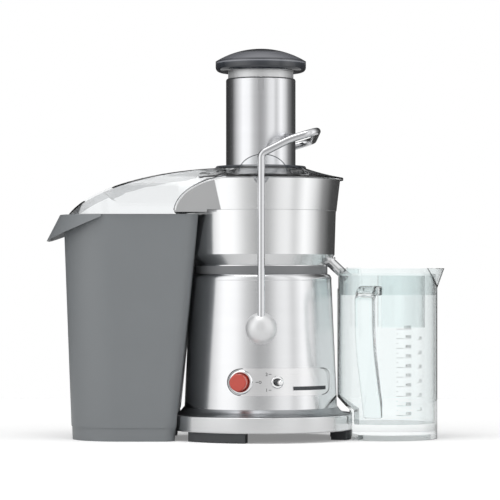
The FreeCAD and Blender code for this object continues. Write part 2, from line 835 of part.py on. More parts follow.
def bowl_surround():
    w = bowl_wall
    z0 = z_seam + 0.3
    shell = surround_body(0, z0, z_rim).cut(surround_body(-w, z0 - 1, z_rim + 1))
    shell = shell.common(arch_prism(0, -120, 120))
    # the drum's left side, where the pulp leaves, is open above the throat floor
    shell = shell.cut(block(-150, -40, -throat_half_width + w, throat_half_width - w, z_seam, z_rim + 1))
    floor = block(-throat_reach, 0, -throat_half_width, throat_half_width, z_throat, z0 + 1.2)
    floor = floor.cut(cyl(bowl_top_radius + LOOSE, z_throat - 1, z_seam + 5))
    floor = floor.cut(block(-60, 5, -200, 200, z_throat - 1, z_seam + 9))
    walls = surround_body(0, z_throat, z0 + 1.2).cut(surround_body(-w, z_throat - 1, z0 + 3))
    walls = walls.common(block(-throat_reach, -60, -200, 200, z_throat, z0 + 2))
    walls = walls.cut(cyl(bowl_top_radius + LOOSE, z_throat - 1, z_seam + 5))
    ledge = tube(surround_foot_radius, bowl_top_radius - w - 2.4 + w + 0.2, z0, z0 + w)
    seat = lathe([(0, z_seam), (bowl_top_radius + 0.1, z_seam), (bowl_top_radius - w, z_seam + 4.2), (0, z_seam + 4.2)])
    made = shell.fuse([floor, walls, ledge]).cut(seat)
    for y0, y1 in ((-130, -60), (60, 130)):
        half = rod_notch_width / 2
        notch = block(-half, half, y0, y1, z_rim - rod_notch_depth + half * 0.6, z_rim + 5)
        round_foot = Part.makeCylinder(half, y1 - y0, V(0, y0, z_rim - rod_notch_depth + half), V(0, 1, 0))
        made = made.cut(notch.fuse(round_foot))
    return max(made.removeSplitter().Solids, key=lambda s: s.Volume)


# ------------------------------------------------------------------ cover, chute and pusher
def hood_solid(grow, z0):
    """Dome of the hood: an elliptical crown cut to the plan of the pulp bin."""
    a = hood_semi_length + grow
    b = hood_semi_height + grow
    cx = -hood_offset
    cz = z_throat - 1.5 - hood_sink
    path = []
    lean = math.asin(hood_sink / b)
    turns = [lean + (math.pi / 2 - lean) * i / 8 for i in range(9)]
    points = [V(cx - a * math.cos(t), -120, cz + b * math.sin(t)) for t in turns]
    curve = Part.BSplineCurve()
    curve.interpolate(points)
    right = V(cx, -120, cz)
    edges = [curve.toShape(), Part.makeLine(points[-1], right), Part.makeLine(right, V(points[0].x, -120, cz)),
             Part.makeLine(V(points[0].x, -120, cz), points[0])]
    crown = Part.Face(Part.Wire(edges)).extrude(V(0, 240, 0))
    plan = rounded_plan(-hood_reach - grow, 0, throat_half_width + grow, hood_corner_radius + grow, 2.0, z0)
    plan = Part.Face(plan).extrude(V(0, 0, 120))
    half = throat_half_width + grow
    crest = cz + b
    r = 34.0
    k = math.sqrt(0.5)
    arch = [(-half, z0), (half, z0), (half, crest - r - 6), (half - r * (1 - k), crest - r * (1 - k) - 2, half - r, crest + 2),
            (-half + r, crest + 2), (-half + r * (1 - k), crest - r * (1 - k) - 2, -half, crest - r - 6)]
    section = Part.Face(outline(arch, lambda y, z: V(-260, y, z))).extrude(V(260, 0, 0))
    return crown.common(plan).common(section)


def cover():
    w = cover_wall
    inner = chute_radius + LOOSE
    z0 = z_cover
    top = z0 + cover_rim_height + cover_cone_rise - 0.2
    lid = lathe([(0, z0 - 3), (cover_rim_radius - 6, z0 - 3), (cover_rim_radius - 6, z0), (cover_rim_radius, z0),
                 (cover_rim_radius, z0 + cover_rim_height), (72.0, z0 + 7.4, 54.0, top), (0, top)])
    lid_in = lathe([(0, z0 - 9), (cover_rim_radius - 6 - w, z0 - 9), (cover_rim_radius - 6 - w, z0 + cover_rim_height - w + 1),
                    (72.0, z0 + 7.4 - w, 54.0, top - w), (0, top - w)])
    dome = hood_solid(0, z_throat - 1.5)
    dome_in = hood_solid(-w, z_throat - 5)
    shell = lid.fuse(dome).cut(lid_in.fuse(dome_in))
    ear = Part.makeCylinder(ear_radius, ear_thickness, V(2, -cover_rim_radius + 3.6, z0 + 4.6), V(0, 1, 0))
    squash = FreeCAD.Matrix()
    squash.scale(V(1, 1, ear_rise / ear_radius))
    ear.translate(V(0, 0, -z0 - 4.6))
    ear = ear.transformGeometry(squash)
    ear.translate(V(0, 0, z0 + 4.6))
    ear = ear.common(block(-40, 40, -99, -60, z0 + 1.2, z_rim + 60))
    shell = shell.fuse(both_sides(ear))
    shell = shell.cut(cyl(inner, z0 - 20, top + 30))
    # inside the drum the hood has no side walls
    shell = shell.cut(cyl(surround_foot_radius - bowl_wall, z_throat - 9, z0 - 3))
    # stand clear of the surround: its walls below the arch and its top edge
    stand = surround_body(LOOSE, z_throat - 9, z_rim + 0.2).cut(surround_body(-bowl_wall - LOOSE, z_throat - 10, z_rim + 1))
    stand = stand.common(arch_prism(LOOSE, -120, 120))
    shell = shell.cut(stand)
    shell = shell.cut(block(-throat_reach - 1, 90, -120, 120, z_throat - 9, z_seam + 2.2))
    return max(shell.removeSplitter().Solids, key=lambda s: s.Volume)


def feed_chute():
    r = chute_radius
    bore = chute_bore
    top = z_chute_top
    pipe = lathe([(bore, z_chute_foot), (r - 0.6, z_chute_foot), (r, z_chute_foot + 1), (r, top - 3.2),
                  (r - 0.5, top - 0.6, r - 1.0, top), (bore + 0.2, top)])
    key = block(-3.4, 3.4, -r - 1.3, -r + 0.6, top - 15, top - 1.5)
    return fuse([pipe, key]).cut(block(-1.6, 1.6, -bore - 0.9, -bore + 1, z_chute_foot - 1, top + 1))


def chute_flange():
    r = chute_radius + 0.1
    low = z_flange
    return lathe([(r, low), (flange_radius - 0.8, low), (flange_radius, low + 1.2),
                  (flange_radius - 1.2, low + flange_thickness), (r, low + flange_thickness)])


def pusher_body():
    r = pusher_radius
    low = z_chute_foot + pusher_lift_gap
    body = lathe([(0, low), (r - 2, low), (r, low + 2), (r, z_cap - LOOSE / 3), (r - pusher_wall, z_cap - LOOSE / 3),
                  (r - pusher_wall, low + pusher_wall), (0, low + pusher_wall)])
    rib = block(-1.2, 1.2, -chute_bore - 0.2, -r + 0.5, low + 4, z_chute_top - 2)
    return fuse([body, rib])


def pusher_cap():
    r = cap_radius
    e = cap_edge_height
    z = z_cap
    h = cap_dome_height
    plug = pusher_radius - pusher_wall - 0.2
    ball = (r * r + h * h) / (2 * h)
    sag = ball - math.sqrt(ball * ball - r * r / 4)
    return lathe([(0, z - 5), (plug, z - 5), (plug, z), (r - 6.0, z), (r - 1.6, z + 1.6, r, z + 5.5), (r, z + e),
                  (r / 2, z + e + h - sag, 0, z + e + h)])


# ------------------------------------------------------------------ clamping bail
def bail_rod():
    y = bail_y
    z = bail_z
    corner = z + bail_corner_rise
    end = z + bail_end_rise
    x = bail_end_reach
    half = [V(0, -y, z + 2), V(0, -y, corner), V(x * 0.5, -y, corner + (end - corner) * 0.62), V(x, -y, end)]
    back = [V(p.x, -p.y, p.z) for p in reversed(half)]
    radii = [bail_corner_radius, 90.0, bail_bend_radius, bail_bend_radius, 90.0, bail_corner_radius]
    return rod(half + back, radii, bail_rod_radius)


def bail_knobs():
    back = housing_radius(bail_z) + 1.4
    r = knob_radius
    t = knob_front - back
    ball = spin([(0, 0), (r - 2.0, 0), (r - 0.4, 1.2, r, 3.6), (r, 6.0), (r * 0.78, t - 5.0, 0, t)])
    ball = ball.cut(cyl(pivot_pin_radius + 0.02, -1, t * 0.55))
    knob = along(ball, 0, back, bail_z)
    knob = knob.cut(cyl(bail_rod_radius + 0.03, bail_z + 1.9, bail_z + 60, 0, -bail_y))
    return both_sides(knob)


def bail_pins():
    back = housing_radius(bail_z) + 1.4
    t = knob_front - back
    pin = cyl(pivot_pin_radius, -16.0, t * 0.55 - 0.1)
    pin = pin.cut(tube(8, 3.6, -14.4, -13.2))
    pin = along(pin, 0, back, bail_z)
    pin = pin.cut(cyl(bail_rod_radius + 0.03, bail_z + 1.9, bail_z + 60, 0, -bail_y))
    return both_sides(pin)


def bail_clips():
    back = housing_radius(bail_z) + 1.4
    clip = tube(7.6, 3.7, -14.3, -13.3).cut(block(0, 9, -2.2, 2.2, -16, -12))
    return both_sides(along(clip, 0, back, bail_z))


# ------------------------------------------------------------------ rotating set
def drive_coupling():
    z = z_coupling
    r = coupling_radius
    hub = cone(r, r - 2.0, z, z + coupling_height)
    hub = hub.cut(cyl(shaft_radius + 0.02, z - 1, z + 9.2))
    lugs = [block(r - 4, r + 1.2, -1.6, 1.6, z, z + coupling_height - 5)]
    for lug in polar(lugs[0], (60, 120, 180, 240, 300)):
        lugs.append(lug)
    return fuse([hub] + lugs)


def basket_hub_height():
    return z_basket - 10


def filter_basket():
    w = basket_wall
    r0 = basket_floor_radius
    r1 = basket_top_radius
    z = z_basket
    top = z + basket_height
    return lathe([(coupling_radius + 1.6, basket_hub_height()), (coupling_radius + 3.4, basket_hub_height()),
                  (coupling_radius + 3.4, z), (r0, z), (r1, top), (r1 - w, top), (r0 - w, z + w + 0.6),
                  (0, z + w + 0.6), (0, z - 1), (coupling_radius + 1.6, z - 1)])


def basket_rim():
    top = z_basket + basket_height
    r = basket_top_radius
    return lathe([(r - basket_wall, top + 0.1), (r + 0.1, top + 0.1), (basket_rim_radius, top + 0.8),
                  (basket_rim_radius, top + 2.6), (r + 1, top + 4.2), (r - basket_wall, top + 4.2)])


def cutting_disc():
    z = z_basket + basket_wall + 0.6
    disc = cyl(disc_radius, z, z + disc_thickness)
    teeth = []
    for radius, count in ((12.0, 8), (20.0, 12), (28.0, 16), (36.0, 20)):
        foot = z + disc_thickness - 0.3
        tooth = side_profile([(radius, foot), (radius + 3.4, foot), (radius + 0.6, foot + tooth_height)], -0.5, 0.5)
        teeth += polar(tooth, [i * 360.0 / count for i in range(count)])
    return disc.fuse(teeth)


# ------------------------------------------------------------------ jug
def machine_step(grow):
    """Turned solid that cuts the jug's foot clear of the machine's base."""
    low = jug_step_height + grow
    high = low + jug_step_rise
    edge = base_radius + 2.6 + grow
    near = housing_foot_radius + 0.3 + grow
    return lathe([(0, -5), (edge, -5), (edge, low), (near, high), (0, high)])


def jug_bulk(grow, z0, z1, lip_z):
    """Jug's outside, or its inside with a negative grow, with the flared pouring lip."""
    body = cyl(jug_radius + grow, z0, z1, jug_x)
    lip_x = jug_x + jug_radius + jug_lip_reach - jug_lip_radius
    low = jug_lip_radius - jug_lip_reach - 2.0
    lip = cone(low + grow, jug_lip_radius + grow, lip_z, jug_height, lip_x)
    if z1 > jug_height:
        lip = lip.fuse(cyl(jug_lip_radius + grow, jug_height, z1, lip_x))
    return body.fuse(lip)


def jug():
    w = jug_wall
    lip_z = jug_height - jug_lip_depth
    ledge = jug_height - lid_drop - lid_skirt_depth
    outer = jug_bulk(0, 0, jug_height, lip_z).cut(machine_step(0))
    inside = cyl(jug_radius - w, jug_floor, ledge + 1, jug_x).cut(machine_step(w))
    upper = jug_bulk(-w, ledge, jug_height + 2, lip_z).fuse(cyl(jug_radius - w + 1.0, ledge, jug_height + 2, jug_x))
    shell = outer.cut(inside).cut(upper)
    under = cyl(jug_radius - 7, -1, 6, jug_x).cut(machine_step(7))
    shell = shell.cut(under)
    door = block(0, jug_x, -inlet_half_width - 1, inlet_half_width + 1, jug_height - inlet_depth, jug_height + 5)
    shell = shell.cut(door)
    return max(shell.removeSplitter().Solids, key=lambda s: s.Volume)


def jug_handle():
    wall = jug_radius + 0.05
    mid = jug_radius + handle_reach - handle_thickness / 2
    top = handle_top - handle_thickness / 2
    low = handle_bottom + handle_thickness / 2
    points = [V(wall - 4, 0, top), V(mid, 0, top), V(mid - 1.5, 0, (top + low) / 2 + 12), V(wall - 4, 0, low)]
    path = bent_path(points, [13.0, 150.0])
    w = handle_width / 2
    t = handle_thickness / 2
    r = 3.2
    b = r * (1 - math.sqrt(0.5))
    section = [(-w + r, -t), (w - r, -t), (w - b, -t + b, w, -t + r), (w, t - r), (w - b, t - b, w - r, t),
               (-w + r, t), (-w + b, t - b, -w, t - r), (-w, -t + r), (-w + b, -t + b, -w + r, -t)]
    ring = outline(section, lambda y, z: V(wall - 4, y, top + z))
    grip = solid(path.makePipeShell([ring], True, True))
    grip = grip.cut(cyl(wall, 0, jug_height))
    grip.rotate(V(0, 0, 0), V(0, 0, 1), handle_angle_deg)
    grip.translate(V(jug_x, 0, 0))
    return max(grip.Solids, key=lambda s: s.Volume)


def jug_lid():
    w = lid_wall
    r = jug_radius - jug_wall + 1.0 - LOOSE
    top = jug_height - lid_drop
    low = top - lid_skirt_depth
    plate = cyl(r, top - 2.4, top, jug_x)
    skirt = tube(r, r - w, low, top, jug_x)
    half = inlet_half_width
    reach = jug_x - r + 22
    door = block(0, reach, -half, half, low - 1, top + 1)
    body = plate.fuse(skirt).cut(door)
    hood = block(reach - 13, reach + 2, -half - 2, half + 2, top - 0.5, top + 7)
    hood = hood.cut(block(reach - 20, reach, -half, half, top - 1, top + 5))
    body = body.fuse(hood)
    clear = nozzle_bar(nozzle_radius + 1.5, 10, 60)
    return max(body.cut(clear).removeSplitter().Solids, key=lambda s: s.Volume)


def froth_separator():
    top = jug_height - lid_drop - 2.4
    r = separator_radius
    wall = tube(r, r - 1.8, top - separator_depth - 21, top - 0.05, jug_x)
    k = math.radians(separator_half_deg)
    far = 80.0
    keep = Part.makePolygon([V(jug_x, 0, 0), V(jug_x + far * math.cos(k), -far * math.sin(k), 0),
                             V(jug_x + far, -far, 0), V(jug_x + far, far, 0),
                             V(jug_x + far * math.cos(k), far * math.sin(k), 0), V(jug_x, 0, 0)])
    wall = wall.common(Part.Face(keep).extrude(V(0, 0, jug_height)))
    return max(wall.Solids, key=lambda s: s.Volume)


# ------------------------------------------------------------------ pulp bin
def bin_plan(grow, z):
    """Outline of the bin at a height, tapering from rim to foot."""
    share = z / bin_height
    left = bin_left_foot + (bin_left_top - bin_left_foot) * share
    right = bin_right_foot + (bin_right_top - bin_right_foot) * share
    half = bin_half_foot + (bin_half_top - bin_half_foot) * share
    corner = bin_corner_right + grow
    return rounded_plan(left - grow, right + grow, half + grow, bin_corner_left + grow, corner, z)


def bin_bulk(grow, z0, z1):
    return solid(Part.makeLoft([bin_plan(grow, z0), bin_plan(grow, z1)], True, True))


def machine_clearance(grow):
    """Turned solid of the machine's own outline, which the bin keeps clear of."""
    g = bin_clearance + grow
    return lathe([(0, -5), (base_radius + g, -5), (base_radius + g, z_ring_top + 1 + g),
                  (housing_foot_radius + 2 + g, z_housing + 3 + g), (housing_foot_radius + g - 0.6, z_housing + 14),
                  (housing_top_radius + g + 0.6, z_deck - 8), (housing_top_radius + g + 0.6, z_bowl),
                  (bowl_low_radius + g, z_bowl + bowl_turn_height), (bowl_top_radius + g + 2, z_seam - 14),
                  (bowl_top_radius + g + 5, bin_height + 5), (0, bin_height + 5)])


def pulp_bin():
    w = bin_wall
    z1 = bin_height
    outer = bin_bulk(0, 0, z1).cut(machine_clearance(0))
    inner = bin_bulk(-w, w + 1, z1 + 3).cut(machine_clearance(w))
    foot = bin_bulk(1, -1, bin_foot_height).cut(bin_bulk(-0.8, -2, bin_foot_height + 1))
    shell = outer.cut(inner).cut(foot)
    flare_top = bin_plan(4.0, z1)
    flare_low = bin_plan(bin_grip_reach, z1 - bin_grip_depth)
    grip = solid(Part.makeLoft([flare_low, flare_top], True, True))
    grip = grip.cut(solid(Part.makeLoft([bin_plan(bin_grip_reach - w, z1 - bin_grip_depth - 0.01),
                                         bin_plan(4.0 - w, z1 + 0.01)], True, True)))
    brim = bin_bulk(3.8, z1 - w, z1).cut(bin_bulk(-w, z1 - 2 * w, z1 + 1))
    grip = grip.fuse(brim)
    left = bin_left_top - bin_grip_reach
    slant = side_profile([(left - 2, z1 - bin_grip_depth - 1), (left + bin_grip_length, z1 - w - 0.4),
                          (left + bin_grip_length, z1 + 1), (left - 2, z1 + 1)], -120, 120)
    grip = grip.common(slant)
    return max(shell.fuse(grip).removeSplitter().Solids, key=lambda s: s.Volume)


# ------------------------------------------------------------------ the pieces
NODES = {
    "base_plate": base_plate, "base_ring": base_ring, "base_collar": base_collar,
    "rubber_feet": rubber_feet, "foot_screws": foot_screws, "cord_inlet_bush": cord_inlet_bush,
    "motor_housing": motor_housing, "top_deck": top_deck, "bail_bushes": bail_bushes,
    "motor_mounts": motor_mounts, "lower_motor_bracket": lower_motor_bracket,
    "upper_motor_bracket": upper_motor_bracket, "motor_tie_rods": motor_tie_rods,
    "lower_bearing": lambda: bearing(z_lower_bracket - 8),
    "upper_bearing": lambda: bearing(z_upper_bracket + bracket_thickness + 8 - bearing_height),
    "stator_core": stator_core, "field_windings": field_windings, "brush_holders": brush_holders,
    "carbon_brushes": carbon_brushes, "thermal_cutout": thermal_cutout, "control_board": control_board,
    "board_components": board_components, "control_panel": control_panel,
    "power_button_ring": power_button_ring, "power_switch": power_switch, "toggle_bush": toggle_bush,
    "toggle_switch": toggle_switch, "spindle_seal": spindle_seal, "bowl_seal": bowl_seal,
    "filter_bowl": filter_bowl, "bowl_surround": bowl_surround, "juice_nozzle": juice_nozzle,
    "cover": cover, "feed_chute": feed_chute, "chute_flange": chute_flange,
    "motor_shaft": motor_shaft, "rotor_core": rotor_core, "rotor_windings": rotor_windings,
    "commutator": commutator, "cooling_fan": cooling_fan, "drive_coupling": drive_coupling,
    "filter_basket": filter_basket, "basket_rim": basket_rim, "cutting_disc": cutting_disc,
    "pusher_body": pusher_body, "pusher_cap": pusher_cap,
    "bail_rod": bail_rod, "bail_knobs": bail_knobs, "bail_pins": bail_pins, "bail_clips": bail_clips,
    "power_button": power_button, "toggle_lever": toggle_lever, "toggle_boot": toggle_boot,
    "jug": jug, "jug_handle": jug_handle, "jug_lid": jug_lid, "froth_separator": froth_separator,
    "pulp_bin": pulp_bin,
}


def build():
    shapes = {}
    for name, make in NODES.items():
        made = make()
        shapes[name] = Part.makeCompound(made) if isinstance(made, list) else made
    return shapes


def origin_shift(shapes):
    """Moves the middle of the footprint to the origin."""
    box = Part.makeCompound(list(shapes.values())).optimalBoundingBox(False, False)
    return V(-(box.XMin + box.XMax) / 2, -(box.YMin + box.YMax) / 2, 0)


def main():
    os.makedirs("parts", exist_ok=True)
    shapes = build()
    shift = origin_shift(shapes)
    for name, shape in shapes.items():
        shape.translate(shift)
        shape.exportStep(os.path.join("parts", name + ".step"))
    print(len(shapes), "nodes, spindle at", round(shift.x, 3), round(shift.y, 3))


if __name__ == "__main__":
    main()
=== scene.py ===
# %% [markdown]
# # A centrifugal juicer, dressed for its picture
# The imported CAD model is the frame: every shell, rod and screw is already in its place, in
# metres, with the worktop at z = 0 and the controls facing -Y.  This file gives each of them
# its finish, adds the fine detail that is too small for the CAD, and sets up a plain studio.

# %% Load the frame
import math

import bmesh
import bpy
from mathutils import Matrix, Vector


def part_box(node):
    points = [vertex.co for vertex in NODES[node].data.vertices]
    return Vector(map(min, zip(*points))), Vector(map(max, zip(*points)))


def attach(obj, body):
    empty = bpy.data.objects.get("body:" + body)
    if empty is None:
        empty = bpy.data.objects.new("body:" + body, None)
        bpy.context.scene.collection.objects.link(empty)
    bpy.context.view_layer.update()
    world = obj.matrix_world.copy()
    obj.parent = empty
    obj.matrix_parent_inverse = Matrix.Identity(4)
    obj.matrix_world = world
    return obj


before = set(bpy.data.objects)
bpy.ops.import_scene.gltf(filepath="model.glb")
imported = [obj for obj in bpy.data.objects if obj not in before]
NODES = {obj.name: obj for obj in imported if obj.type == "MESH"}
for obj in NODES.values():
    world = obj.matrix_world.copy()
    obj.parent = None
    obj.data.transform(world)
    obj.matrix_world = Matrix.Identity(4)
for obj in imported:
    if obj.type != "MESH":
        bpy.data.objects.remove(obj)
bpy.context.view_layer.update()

# %% [markdown]
# Most places are measured from the motor spindle, because the whole machine is turned or
# drawn round it.  The shaft's own box gives that line, so nothing here has to be kept in
# step by hand when the model moves.

# %% Where things are
def middle(node):
    """Middle of a CAD node's box."""
    low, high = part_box(node)
    return (low + high) / 2


MM = 0.001
SPINDLE = Vector((middle("motor_shaft").x, middle("motor_shaft").y, 0))
JUG_RADIUS = 0.057
LID_RADIUS = 0.0551
JUG_AXIS = Vector((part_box("jug_lid")[0].x + LID_RADIUS, 0, 0))
print("spindle x %.4f, jug axis x %.4f" % (SPINDLE.x, JUG_AXIS.x))

# %% [markdown]
# ## Writing shader maths as Python
# A node tree is easier to read as a formula.  `Signal` wraps one output socket, so that
# `1 - mask * 0.3` adds the Math nodes by itself.  `Finish` is one material: `node()` adds any
# node with its settings first and its sockets after, and `set()` fills the main shader.

# %% Signal and Finish
class Signal:
    """One output socket, with arithmetic."""

    def __init__(self, finish, socket):
        self.finish = finish
        self.socket = socket

    def math(self, operation, *others, clamp=False):
        sockets = {i: value for i, value in enumerate((self,) + others)}
        return self.finish.node("ShaderNodeMath", {"operation": operation, "use_clamp": clamp}, sockets)

    def reversed(self, operation, other):
        return self.finish.node("ShaderNodeMath", {"operation": operation}, {0: other, 1: self})

    def __add__(self, other):
        return self.math("ADD", other)

    __radd__ = __add__

    def __mul__(self, other):
        return self.math("MULTIPLY", other)

    __rmul__ = __mul__

    def __sub__(self, other):
        return self.math("SUBTRACT", other)

    def __rsub__(self, other):
        return self.reversed("SUBTRACT", other)

    def __truediv__(self, other):
        return self.math("DIVIDE", other)

    def above(self, level, soft):
        """0 below the level and 1 above it, over a soft step."""
        return self.finish.node("ShaderNodeMapRange", {"interpolation_type": "SMOOTHSTEP"},
                                {"Value": self, "From Min": level - soft, "From Max": level + soft})


class Bench:
    """A node tree and the ways to add to it."""

    def __init__(self, owner):
        owner.use_nodes = True
        self.tree = owner.node_tree
        self.tree.nodes.clear()

    def node(self, kind, settings=None, sockets=None, out=0):
        made = self.tree.nodes.new(kind)
        for key, value in (settings or {}).items():
            setattr(made, key, value)
        for key, value in (sockets or {}).items():
            self.fill(made.inputs[key], value)
        return Signal(self, made.outputs[out])

    def fill(self, socket, value):
        if isinstance(value, Signal):
            self.tree.links.new(value.socket, socket)
        elif isinstance(value, (tuple, list)) and socket.type == "RGBA":
            socket.default_value = tuple(value) + (1,) * (4 - len(value))
        else:
            socket.default_value = value

    def ramp(self, value, stops):
        """Grey level that follows the stops: pairs of position and level."""
        made = self.tree.nodes.new("ShaderNodeValToRGB")
        self.fill(made.inputs[0], value)
        bar = made.color_ramp.elements
        while len(bar) < len(stops):
            bar.new(0.5)
        for stop, (position, level) in zip(bar, stops):
            stop.position = position
            stop.color = tuple(level) + (1,) if isinstance(level, tuple) else (level, level, level, 1)
        return Signal(self, made.outputs[0])

    def place(self):
        """Position in the row frame, in metres."""
        return self.node("ShaderNodeTexCoord", out="Object")

    def parts(self, vector):
        """The three numbers of a vector."""
        split = self.node("ShaderNodeSeparateXYZ", {}, {0: vector})
        return [Signal(self, split.socket.node.outputs[i]) for i in range(3)]

    def scaled(self, x, y, z):
        """The place, stretched for a grain that runs one way."""
        return self.node("ShaderNodeVectorMath", {"operation": "MULTIPLY"}, {0: self.place(), 1: (x, y, z)})

    def noise(self, vector, scale=1.0, detail=3.0, rough=0.55):
        sockets = {"Vector": vector, "Scale": scale, "Detail": detail, "Roughness": rough}
        return self.node("ShaderNodeTexNoise", {}, sockets)

    def mix(self, factor, a, b):
        """Colour between a and b."""
        made = self.tree.nodes.new("ShaderNodeMix")
        made.data_type = "RGBA"
        self.fill(made.inputs[0], factor)
        self.fill(made.inputs[6], a)
        self.fill(made.inputs[7], b)
        return Signal(self, made.outputs[2])

    def bump(self, height, strength, distance):
        return self.node("ShaderNodeBump", {}, {"Height": height, "Strength": strength, "Distance": distance})


class Finish(Bench):
    """A material built round one Principled shader."""

    def __init__(self, name, **constants):
        self.material = bpy.data.materials.new(name)
        super().__init__(self.material)
        self.output = self.tree.nodes.new("ShaderNodeOutputMaterial")
        self.shader = self.tree.nodes.new("ShaderNodeBsdfPrincipled")
        self.tree.links.new(self.shader.outputs[0], self.output.inputs[0])
        self.set(**constants)

    def set(self, **values):
        for key, value in values.items():
            self.fill(self.shader.inputs[key.replace("_", " ")], value)
        return self


def shade(colour, factor):
    """A colour made lighter or darker."""
    return tuple(c * factor for c in colour)


print("shader helpers ready")

# %% [markdown]
# ## Metals
# The housing and the chute are drawn steel, brushed round the drum and then satined: fine
# level scratches that stretch a reflection sideways very little and up and down a lot.
# Noise squeezed hard in height and left long round the drum gives those scratches, for the
# roughness, a hair of tone and a shallow bump.  The castings are silver-painted, so their
# grain is round and finer.

# %% Brushed and cast metal
def brushed(name, colour, roughness, depth=0.06, grain=2600.0):
    finish = Finish(name, Metallic=1.0)
    fine = finish.noise(finish.scaled(14.0, 14.0, grain), 1.0, 2.0)
    broad = finish.noise(finish.scaled(5.0, 5.0, 90.0), 1.0, 2.0)
    tone = finish.mix(fine * 0.6 + broad * 0.4, shade(colour, 0.93), shade(colour, 1.05))
    finish.set(Base_Color=tone, Roughness=roughness - 0.06 + fine * 0.12,
               Normal=finish.bump(fine, depth, 0.0001))
    return finish


def cast(name, colour, roughness, metallic=1.0):
    finish = Finish(name, Metallic=metallic)
    speck = finish.noise(finish.place(), 2200.0, 2.0)
    cloud = finish.noise(finish.place(), 26.0, 2.0)
    tone = finish.mix(speck * 0.5 + cloud * 0.5, shade(colour, 0.95), shade(colour, 1.04))
    finish.set(Base_Color=tone, Roughness=roughness - 0.04 + cloud * 0.08,
               Normal=finish.bump(speck, 0.05, 0.00008))
    return finish


HOUSING = brushed("housing_satin_steel", (0.70, 0.705, 0.715), 0.21, 0.03)
CHUTE = brushed("chute_satin_steel", (0.66, 0.665, 0.68), 0.17, 0.02)
PANEL = brushed("panel_satin_steel", (0.80, 0.80, 0.805), 0.30, 0.03)
SURROUND = cast("surround_silver", (0.72, 0.725, 0.73), 0.20)
RING = cast("base_ring_silver", (0.72, 0.725, 0.73), 0.17)
COLLAR = cast("collar_grey", (0.36, 0.37, 0.385), 0.33)
BAIL = brushed("bail_polished_steel", (0.66, 0.665, 0.68), 0.12, 0.01, 900.0)
CHROME = cast("chrome_trim", (0.86, 0.865, 0.87), 0.07)
KNOB = cast("knob_pearl_silver", (0.74, 0.745, 0.75), 0.42, 0.6)
STEEL = brushed("ground_steel", (0.62, 0.62, 0.63), 0.24, 0.05, 1500.0)
IRON = cast("motor_iron", (0.22, 0.22, 0.23), 0.45)
COPPER = cast("enamelled_copper", (0.62, 0.27, 0.12), 0.3)
print("metals:", 12)

# %% [markdown]
# ## Plastics and rubber
# The bin is a fine-textured grey moulding, a little shiny where the light grazes it.  The
# hood, jug and lid are clear plastic; their thickness in the CAD is real, so light bends in
# them as it should.  Where a wall is seen along its own length, a darker tint stands for the
# long way through it, which gives the jug its cold green-grey edges.

# %% Moulded finishes
def moulded(name, colour, roughness, grain=900.0, depth=0.18):
    finish = Finish(name)
    fine = finish.noise(finish.place(), grain, 3.0, 0.6)
    cloud = finish.noise(finish.place(), 18.0, 2.0)
    tone = finish.mix(fine * 0.35 + cloud * 0.65, shade(colour, 0.94), shade(colour, 1.06))
    finish.set(Base_Color=tone, Roughness=roughness - 0.05 + fine * 0.1,
               Normal=finish.bump(fine, depth, 0.00015))
    return finish


def clear(name, colour, edge, start=0.55, roughness=0.02):
    """Clear plastic whose walls, seen along their own length, take the colour of their thickness."""
    finish = Finish(name, IOR=1.47, Transmission_Weight=1.0, Roughness=roughness)
    ripple = finish.noise(finish.place(), 9.0, 1.0)
    along = finish.node("ShaderNodeLayerWeight", {}, {"Blend": 0.5}, out=1)
    depth = finish.ramp(along, [(0.0, 0.0), (start, 0.02), (0.62, 0.22), (0.8, 0.75), (0.93, 1.0)])
    finish.set(Base_Color=finish.mix(depth, colour, edge), Normal=finish.bump(ripple, 0.04, 0.002))
    return finish


BIN = moulded("bin_grey", (0.20, 0.213, 0.222), 0.40)
DARK = moulded("dark_moulding", (0.045, 0.048, 0.052), 0.45)
# The top deck's dark grey is painted shade: it stands for the shadow line where the surround's lower cone
# meets the base.
NECK_PAINTED_SHADE = moulded("neck_grey", (0.20, 0.205, 0.212), 0.4)
RUBBER = moulded("foot_rubber", (0.055, 0.058, 0.062), 0.6, 600.0)
SEAL = moulded("silicone_seal", (0.5, 0.5, 0.5), 0.5)
RED = moulded("button_red", (0.52, 0.05, 0.028), 0.3, 300.0, 0.02).set(Coat_Weight=0.6, Coat_Roughness=0.12)
BOARD = moulded("board_green", (0.03, 0.16, 0.08), 0.4)
INK = moulded("grey_print", (0.045, 0.05, 0.055), 0.5)
COVER = clear("cover_clear", (0.955, 0.965, 0.97), (0.003, 0.006, 0.01), 0.25)
JUG = clear("jug_clear", (0.955, 0.985, 0.985), (0.002, 0.015, 0.02), 0.22)
FLANGE = moulded("flange_smoke", (0.06, 0.065, 0.075), 0.12, 40.0, 0.01).set(Coat_Weight=0.5)
print("plastics:", 11)

# %% [markdown]
# The cap is a smoky clear dome.  Its colour is set in level bands by height: the thick crown
# and the rim stay nearly black, a paler band half way up is a painted reflection, and one
# bright line where they join is a painted highlight.  The bands are level, so the height alone can place
# them.

# %% Smoky cap with painted highlight and reflection bands
CAP_LOW, CAP_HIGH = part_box("pusher_cap")[0].z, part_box("pusher_cap")[1].z
SMOKE = Finish("cap_smoke", Roughness=0.1, Coat_Weight=0.4)
height = SMOKE.parts(SMOKE.place())[2]
share = (height - CAP_LOW) / (CAP_HIGH - CAP_LOW)
haze = SMOKE.noise(SMOKE.place(), 30.0, 2.0)
